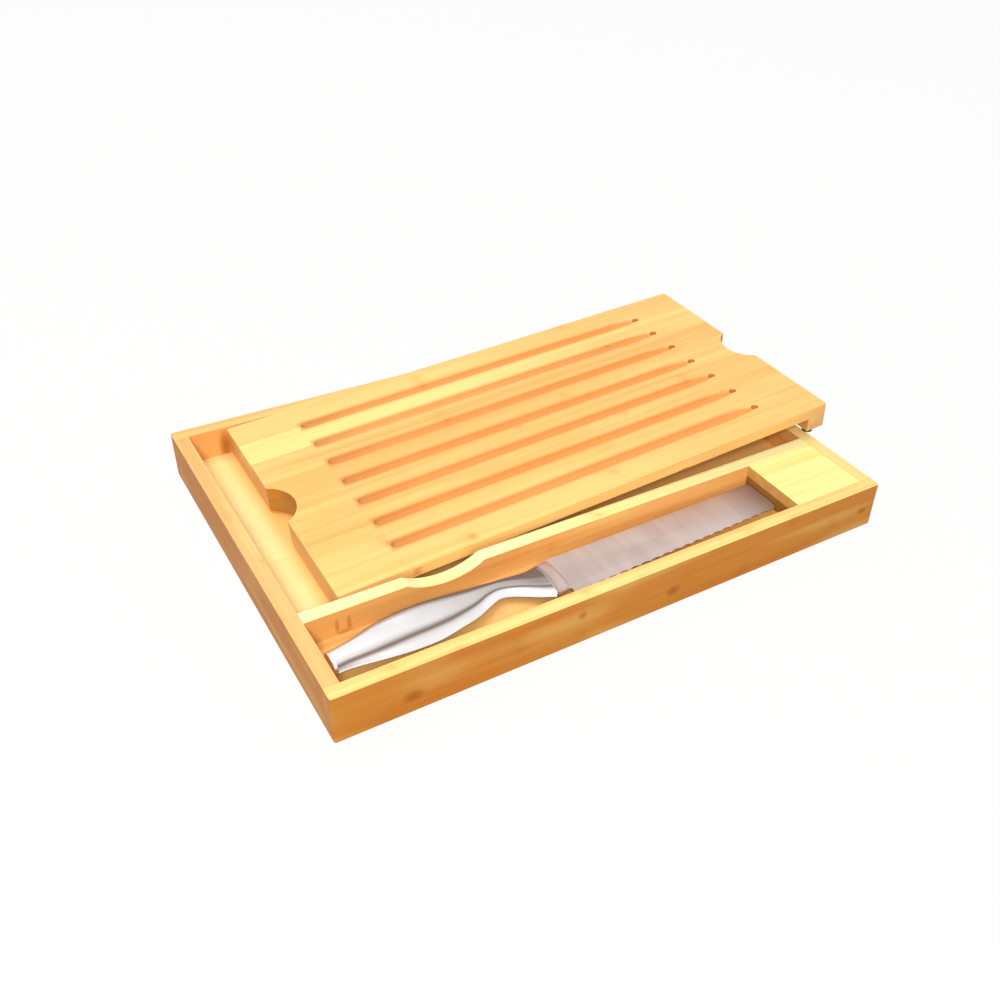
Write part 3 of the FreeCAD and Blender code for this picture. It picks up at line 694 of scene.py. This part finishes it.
def blade_steel():
    """Satin blade: fine grinding marks and broad soft bands that run across its width, and a painted dark
    reflection towards its tip.
    """
    s = Shader("blade_steel")
    square = s.turned(s.add("ShaderNodeTexCoord").outputs["Object"], (0, 0, -KNIFE_YAW))
    marks = s.noise(square, BLADE_GRINDING)
    bands = s.noise(square, BLADE_BANDS)
    to_tip = s.ramp(s.split(square)["X"], BLADE_TIP - TIP_SHADE_STARTS, BLADE_TIP - TIP_SHADE_FULL)
    colour = s.mix(s.shown(bands, BLADE_BANDS), STEEL_BLADE, darker(STEEL_BLADE, BLADE_BAND_SHADE))
    colour = s.mix(s.product(marks, BLADE_GRINDING.strength), colour, darker(STEEL_BLADE, GRINDING_SHADE))
    # Painted dark reflection towards the tip.
    colour = s.mix(to_tip, colour, STEEL_TIP_REFLECTION)
    s.surface(Base_Color=colour, Metallic=BLADE_METALLIC, Anisotropic=BLADE_ANISOTROPY,
              Roughness=s.ramp(bands, SMOOTHEST_AT, ROUGHEST_AT, *BLADE_ROUGHNESS),
              Normal=s.bump(marks, GRINDING_HEIGHT))
    return s.material


def handle_steel():
    """Polished steel with faint smears and hairline scratches, with painted shade and dark reflections where
    its mesh is marked, where it is also matt.
    """
    s = Shader("handle_steel")
    coords = s.add("ShaderNodeTexCoord").outputs["Object"]
    smears = s.noise(coords, HANDLE_SMEARS)
    crease, bead = [s.add("ShaderNodeAttribute", attribute_name=mark).outputs["Fac"]
                    for mark in ("crease", "bead")]
    colour = s.mix(s.shown(smears, HANDLE_SMEARS), STEEL_HANDLE, darker(STEEL_HANDLE, SMEAR_SHADE))
    # Painted shade and dark reflections where the mesh is marked.
    colour = s.mix(crease, colour, STEEL_PAINTED_SHADE)
    rough = s.math("ADD", s.ramp(smears, SMOOTHEST_AT, ROUGHEST_AT, *HANDLE_ROUGHNESS),
                   s.product(crease, CREASE_ROUGHNESS))
    metal = s.ramp(crease, CREASE_MATT_FROM, CREASE_MATT_FULL, 1.0, CREASE_METALLIC, smooth=False)
    lift = s.join(0.0, 0.0, s.product(bead, BEAD_LIFT))
    lifted = s.vector_math("ADD", s.add("ShaderNodeNewGeometry").outputs["Normal"], lift)
    normal = s.vector_math("NORMALIZE", lifted)
    s.surface(Base_Color=colour, Metallic=metal, Roughness=rough,
              Normal=s.bump(s.noise(coords, HANDLE_HAIRS), HAIR_HEIGHT, normal))
    return s.material


# ---------------------------------------------------------------- tray and board
def dress(node, material, edge=0.0):
    """Give a CAD node its finish, and ease its edges."""
    piece = NODES[node]
    piece.data.materials.clear()
    piece.data.materials.append(material)
    if not edge:
        return
    if "custom_normal" in piece.data.attributes:
        piece.data.attributes.remove(piece.data.attributes["custom_normal"])
    piece.data.shade_smooth()
    weld = piece.modifiers.new("weld", "WELD")
    weld.merge_threshold = WELD_DISTANCE
    flat = piece.modifiers.new("flat", "DECIMATE")
    flat.decimate_type = "DISSOLVE"
    flat.angle_limit = FLAT_ANGLE
    ease = piece.modifiers.new("ease", "BEVEL")
    ease.width = edge
    ease.segments = EASE_SEGMENTS
    ease.limit_method = "ANGLE"
    ease.angle_limit = EDGE_ANGLE
    ease.use_clamp_overlap = True
    ease.harden_normals = True


def tray_wood(node, top, outer=None, **looks):
    """The wood of a piece of the tray, which is named after its node."""
    return Bamboo(node, STRIPS[node], top, INNER_SIDE, outer, **looks)


def dress_tray():
    front = tray_wood("front_rail", FRONT_TOP, OUTER_SIDE_SHADE, upright_nodes=FRONT_UPRIGHT_NODES)
    front.knots_and_shade(FRONT_KNOTS)
    rear = tray_wood("rear_rail", SIDE_TOP, OUTER_SIDE_SHADE)
    # Knot marks, here a painted shade by the board's back left corner.
    rear.knots_and_shade(REAR_CORNER_SHADE)
    left = tray_wood("left_rail", LEFT_TOP, OUTER_SIDE_SHADE)
    right = tray_wood("right_rail", FRONT_TOP, OUTER_SIDE_SHADE)
    divider = tray_wood("divider", DIVIDER_TOP, upright_nodes=DIVIDER_UPRIGHT_NODES)
    divider.knots_and_shade(DIVIDER_KNOTS)
    block = tray_wood("end_block", BLOCK_TOP)
    block.dusk(*BLOCK_DUSK)
    block.end_grain(BLOCK_END)
    eased = {"front_rail": front, "rear_rail": rear, "left_rail": left, "right_rail": right,
             "divider": divider, "end_block": block}
    for node, wood in eased.items():
        dress(node, wood.finish(), EASED_EDGE)

    floor = tray_wood("tray_floor", FLOOR_TOP, flat_nodes=FLOOR_FLAT_NODES, fine=FLOOR_FINE_GRAIN)
    # Painted light and shade on the floor.
    floor.shade_floor()
    dress("tray_floor", floor.finish())
    bay_floor = tray_wood("knife_bay_floor", SIDE_TOP)
    bay_floor.dusk(*BAY_FLOOR_DUSK)
    dress("knife_bay_floor", bay_floor.finish())
    dowel = dowel_wood()
    for node in ("corner_dowels", "divider_dowels", "block_dowels", "batten_pegs"):
        dress(node, dowel)


def dress_board():
    for number, paleness in enumerate(STAVE_PALENESS, 1):
        node = "board_stave_%d" % number
        strips = STRIPS["board_strip"]
        stave = Bamboo("board_strip_%d" % number, strips._replace(seed=strips.seed + number),
                       BOARD_TOP, BOARD_SIDE, turn=BOARD_TURN, paleness=paleness)
        if number == 1:
            stave.knots_and_shade(BOARD_KNOTS)
        if number in MIDDLE_STRIPS:
            stave.notch_walls(NOTCHES)
        stave.end_grain(STRIP_END)
        low, high = on_level_board(node)
        stave.grooves([low[1]] * (number > 1) + [high[1]] * (number < len(STAVE_PALENESS)))
        dress(node, stave.finish(), EASED_EDGE)

    cross = Bamboo("board_batten", STRIPS["board_batten"], BOARD_TOP, BATTEN_SIDE, turn=BOARD_TURN)
    cross.notch_walls([(across, length) for length, across in NOTCHES])
    cross.end_grain(BATTEN_END)
    batten = cross.finish()
    for node in ("left_batten", "right_batten"):
        dress(node, batten, EASED_EDGE)
    rubber = foot_rubber()
    for node in ("left_front_foot", "left_back_foot", "right_front_foot", "right_back_foot"):
        dress(node, rubber)


# ---------------------------------------------------------------- knife
def smooth_value(share, column):
    """A value of the handle's section table at any share of its length, on a smooth curve."""
    rows = HANDLE_SECTIONS
    last = len(rows) - 1
    index = next((i for i in range(last) if share <= rows[i + 1][0]), last - 1)
    start, end = rows[index], rows[index + 1]
    before, after = rows[max(index - 1, 0)], rows[min(index + 2, last)]
    span = end[0] - start[0]
    t = (share - start[0]) / span
    slope_start = (end[column] - before[column]) / (end[0] - before[0]) * span
    slope_end = (after[column] - start[column]) / (after[0] - start[0]) * span
    return ((2 * t ** 3 - 3 * t ** 2 + 1) * start[column] + (t ** 3 - 2 * t ** 2 + t) * slope_start
            + (3 * t ** 2 - 2 * t ** 3) * end[column] + (t ** 3 - t ** 2) * slope_end)


def knife_matrix():
    """From the knife lying flat at the origin, butt first, to its place in the tray."""
    turn = Matrix.Rotation(KNIFE_YAW, 4, "Z") @ Matrix.Rotation(KNIFE_SLOPE, 4, "Y")
    back = turn.inverted()
    cap = [back @ v.co for v in NODES["handle_end_cap"].data.vertices]
    butt_x = min(v.x for v in cap)
    butt = [v for v in cap if v.x - butt_x < SAME_PLACE]
    middle = [(min(v[axis] for v in butt) + max(v[axis] for v in butt)) / 2 for axis in (1, 2)]
    return turn @ Matrix.Translation((butt_x, middle[0] - BUTT_OFFSET, middle[1]))


def unit(value):
    """A value kept between 0 and 1."""
    return min(1.0, max(0.0, value))


def handle_ring(share, side):
    """The points across half the handle, each with its marks: how much painted shade it has, and how lifted.
    """
    centre, width, thick, crease, depth = [smooth_value(share, column) for column in range(1, 6)]
    to_neck = unit((share - FACE_SHADE_FROM) / (FACE_SHADE_FULL - FACE_SHADE_FROM))
    for step in range(HALF_RING_POINTS + 1):
        angle = math.pi * step / HALF_RING_POINTS
        across, up = math.cos(angle), math.sin(angle)
        dip = math.exp(-((across - crease) / CREASE_HALF_WIDTH) ** 2)
        height = up * thick - depth * dip * up
        point = Vector((share * HANDLE_LENGTH, (centre + across * width) / MM_PER_METRE,
                        side * height / MM_PER_METRE))
        facing = Vector((across / width, side * up / thick)).normalized()
        spine = unit((facing.x - SPINE_SHADE_FROM + SPINE_SHADE_WIDENS * share) / SPINE_SHADE_FADE)
        under = unit((-facing.y - UNDER_SHADE_FROM) / UNDER_SHADE_FADE)
        face = FACE_SHADE * to_neck * unit((across - crease) / FACE_SHADE_FADE)
        # Painted shade and dark reflections: in the crease on the upper half, where the surface faces the
        # spine or down, and on the face towards the neck.
        painted_dark = max(spine, under, face, dip if side > 0 else 0.0)
        lifted = unit((BEAD_FROM - facing.y) / BEAD_FADE) if across < 0 else 0.0
        yield point, painted_dark, lifted


def handle_half(name, node, side, place, material):
    """Half of the hollow handle, with the long crease that sets off its rolled edge."""
    mesh = bmesh.new()
    shade_mark = mesh.verts.layers.float.new("crease")
    bead_mark = mesh.verts.layers.float.new("bead")
    first_share = CAP_LENGTH / HANDLE_LENGTH
    rings = []
    for ring in range(HANDLE_RINGS + 1):
        row = []
        for point, painted_dark, lifted in handle_ring(first_share + (1 - first_share) * ring / HANDLE_RINGS, side):
            vertex = mesh.verts.new(place @ point)
            # The mark of painted shade and dark reflections.
            vertex[shade_mark] = painted_dark
            vertex[bead_mark] = lifted
            row.append(vertex)
        rings.append(row)
    for first, second in zip(rings, rings[1:]):
        for step in range(HALF_RING_POINTS):
            corners = (first[step], first[step + 1], second[step + 1], second[step])
            mesh.faces.new(corners if side < 0 else corners[::-1])
    data = bpy.data.meshes.new(name)
    mesh.to_mesh(data)
    mesh.free()
    data.shade_smooth()
    data.materials.append(material)
    piece = bpy.data.objects.new(name, data)
    bpy.context.scene.collection.objects.link(piece)
    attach(piece, "knife")
    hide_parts(node)


def dress_knife():
    place = knife_matrix()
    polished = handle_steel()
    satin = blade_steel()
    dress("knife_blade", satin)
    dress("knife_bolster", satin)
    dress("handle_end_cap", polished)
    handle_half("upper_shell", "handle_upper_shell", 1, place, polished)
    handle_half("lower_shell", "handle_lower_shell", -1, place, polished)


# ---------------------------------------------------------------- studio
def studio_floor():
    """Pale ground that shows as white and keeps the object's soft shadow."""
    mesh = bpy.data.meshes.new("ground")
    corners = [(x * GROUND_REACH, y * GROUND_REACH, 0) for x, y in ((-1, -1), (1, -1), (1, 1), (-1, 1))]
    mesh.from_pydata(corners, [], [(0, 1, 2, 3)])
    ground = bpy.data.objects.new("ground", mesh)
    bpy.context.scene.collection.objects.link(ground)
    s = Shader("ground_white")
    diffuse = s.add("ShaderNodeBsdfDiffuse")
    diffuse.inputs["Color"].default_value = (*GROUND_GREY, 1)
    white = s.add("ShaderNodeEmission")
    white.inputs["Strength"].default_value = GROUND_GLOW
    rays = s.add("ShaderNodeLightPath")
    mix = s.add("ShaderNodeMixShader")
    s.link(s.product(rays.outputs["Is Camera Ray"], GROUND_SHOWN), mix.inputs[0])
    s.link(diffuse.outputs[0], mix.inputs[1])
    s.link(white.outputs[0], mix.inputs[2])
    s.link(mix.outputs[0], s.output.inputs[0])
    mesh.materials.append(s.material)


def studio_world():
    """A soft even surround that is plain white wherever it is seen or mirrored."""
    world = bpy.data.worlds.new("studio")
    bpy.context.scene.world = world
    world.use_nodes = True
    tree = world.node_tree
    tree.nodes.clear()
    output = tree.nodes.new("ShaderNodeOutputWorld")
    rays = tree.nodes.new("ShaderNodeLightPath")
    shown = tree.nodes.new("ShaderNodeMath")
    shown.operation = "MAXIMUM"
    tree.links.new(rays.outputs["Is Camera Ray"], shown.inputs[0])
    tree.links.new(rays.outputs["Is Glossy Ray"], shown.inputs[1])
    soft = tree.nodes.new("ShaderNodeBackground")
    soft.inputs[0].default_value = (*FILL, 1)
    soft.inputs[1].default_value = FILL_STRENGTH
    white = tree.nodes.new("ShaderNodeBackground")
    white.inputs[0].default_value = (1, 1, 1, 1)
    mix = tree.nodes.new("ShaderNodeMixShader")
    tree.links.new(shown.outputs[0], mix.inputs[0])
    tree.links.new(soft.outputs[0], mix.inputs[1])
    tree.links.new(white.outputs[0], mix.inputs[2])
    tree.links.new(mix.outputs[0], output.inputs[0])


def lamp(name, place, size, power, colour):
    data = bpy.data.lights.new(name, "AREA")
    data.shape = "DISK"
    data.size = size
    data.energy = power
    data.color = colour
    light = bpy.data.objects.new(name, data)
    light.location = place
    light.rotation_mode = "QUATERNION"
    light.rotation_quaternion = (Vector(LAMPS_AIM) - Vector(place)).to_track_quat("-Z", "Y")
    bpy.context.scene.collection.objects.link(light)


def camera():
    data = bpy.data.cameras.new("camera")
    data.sensor_width = SENSOR_WIDTH
    data.lens = FOCAL_LENGTH
    data.shift_x = SHIFT_X
    data.shift_y = SHIFT_Y
    data.clip_start = CLIP_NEAR
    data.clip_end = CLIP_FAR
    azimuth, down = math.radians(CAMERA_AZIMUTH), math.radians(CAMERA_DOWN)
    look = Vector((math.sin(azimuth) * math.cos(down), math.cos(azimuth) * math.cos(down), -math.sin(down)))
    eye = bpy.data.objects.new("camera", data)
    eye.location = CAMERA_PLACE
    eye.rotation_mode = "QUATERNION"
    eye.rotation_quaternion = look.to_track_quat("-Z", "Y") @ Quaternion((0, 0, 1), math.radians(CAMERA_ROLL))
    bpy.context.scene.collection.objects.link(eye)
    bpy.context.scene.camera = eye


camera()
studio_world()
studio_floor()
for name, settings in LAMPS.items():
    lamp(name, *settings)
dress_tray()
dress_board()
dress_knife()

bpy.context.scene.view_settings.view_transform = "Standard"
